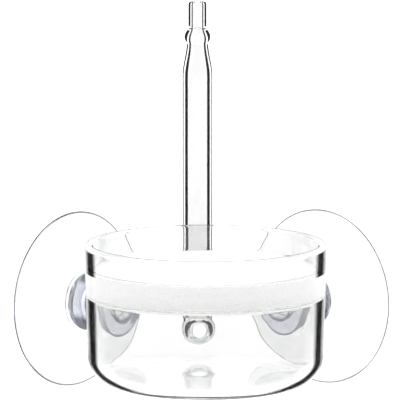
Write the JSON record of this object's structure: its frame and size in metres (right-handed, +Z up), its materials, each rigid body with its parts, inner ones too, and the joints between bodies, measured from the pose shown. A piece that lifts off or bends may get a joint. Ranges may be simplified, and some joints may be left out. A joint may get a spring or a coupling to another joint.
{
  "type": "carbon dioxide diffuser",
  "caption": "Glass aquarium gas diffuser: open cup with a porous ceramic disc over a gas chamber, a rising hose tube behind, and swivelling suction cups for a tank corner.",
  "frame": {"origin": "centre of the glass cup's underside", "axes": "+Z up along the cup's axis and the hose tube, +Y back into the tank corner, +X to the right seen from the front"},
  "size_m": [0.079, 0.0645, 0.0813],
  "materials": {
    "clear_glass": "fire-polished, clear",
    "porous_ceramic": "matt, unglazed, fine-pored",
    "clear_soft_vinyl": "clear soft vinyl with a faint blue tint"
  },
  "bodies": {
    "glass_body": {"glass_cup": "clear_glass", "ceramic_disc": "porous_ceramic", "upper_disc_seal": "clear_glass", "lower_disc_seal": "clear_glass", "gas_tube": "clear_glass", "tube_elbow": "clear_glass", "elbow_weld": "clear_glass", "hose_end": "clear_glass", "left_peg": "clear_glass", "right_peg": "clear_glass", "left_peg_weld": "clear_glass", "right_peg_weld": "clear_glass"},
    "left_suction": {"left_suction_cup": "clear_soft_vinyl"},
    "right_suction": {"right_suction_cup": "clear_soft_vinyl"}
  },
  "joints": [
    {"name": "left_suction_turn", "type": "hinge", "parent": "glass_body", "child": "left_suction", "pos_m": [-0.02, 0.02, 0.0135], "axis": [-0.7071, 0.7071, 0], "continuous": true},
    {"name": "right_suction_turn", "type": "hinge", "parent": "glass_body", "child": "right_suction", "pos_m": [0.02, 0.02, 0.0135], "axis": [0.7071, 0.7071, 0], "continuous": true}
  ]
}
